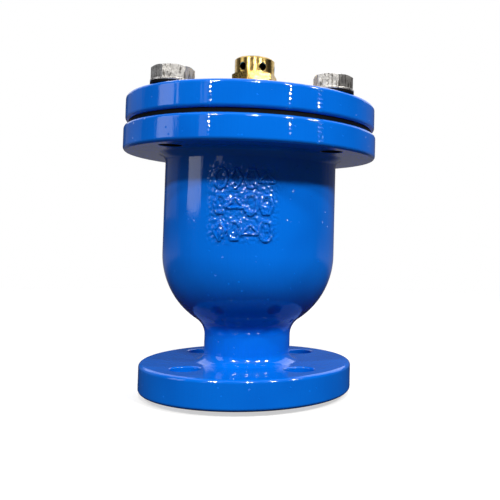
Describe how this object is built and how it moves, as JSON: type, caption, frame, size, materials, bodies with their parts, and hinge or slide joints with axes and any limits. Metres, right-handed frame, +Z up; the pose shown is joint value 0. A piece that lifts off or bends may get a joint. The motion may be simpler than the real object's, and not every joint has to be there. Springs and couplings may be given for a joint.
{
  "type": "air release valve",
  "caption": "Flanged single-orifice air release valve: blue cast bowl with bolted cover, brass vent cap and a float on a lever inside that shuts the orifice.",
  "frame": {"origin": "centre of the raised face of the pipe flange, where the valve stands on its pipe", "axes": "+Z up the axis of the inlet, the bowl and the vent cap; -Y towards the picture's camera; +X to the right in the picture, towards the float end of the lever"},
  "size_m": [0.1264, 0.1264, 0.1697],
  "materials": {
    "blue_epoxy": "glossy fusion-bonded epoxy on cast iron",
    "black_rubber": "matt",
    "zinc_steel": "zinc plated",
    "brass": "turned",
    "stainless": "plain stainless"
  },
  "bodies": {
    "housing": {"valve_body": "blue_epoxy", "cover": "blue_epoxy", "cover_gasket": "black_rubber", "cover_bolts": "zinc_steel", "bolt_washers": "zinc_steel", "bolt_pads": "black_rubber", "vent_cap": "brass", "cap_seal": "brass", "orifice_nozzle": "brass", "nozzle_seal": "black_rubber", "lever_bracket": "stainless", "bracket_screws": "stainless", "pivot_pin": "stainless", "pivot_clip": "stainless"},
    "lever_arm": {"lever": "stainless", "seal_holder": "brass", "seal_button": "black_rubber", "holder_nut": "stainless"},
    "float": {"float_ball": "stainless", "float_lug": "stainless", "float_pin": "stainless", "float_clip": "stainless"}
  },
  "joints": [
    {"name": "lever_hinge", "type": "hinge", "parent": "housing", "child": "lever_arm", "pos_m": [-0.022, 0, 0.1147], "axis": [0, -1, 0], "range_deg": [0, 8]},
    {"name": "float_swing", "type": "hinge", "parent": "lever_arm", "child": "float", "pos_m": [0.00721, 0, 0.1106], "axis": [0, -1, 0], "range_deg": [-10, 2]}
  ]
}
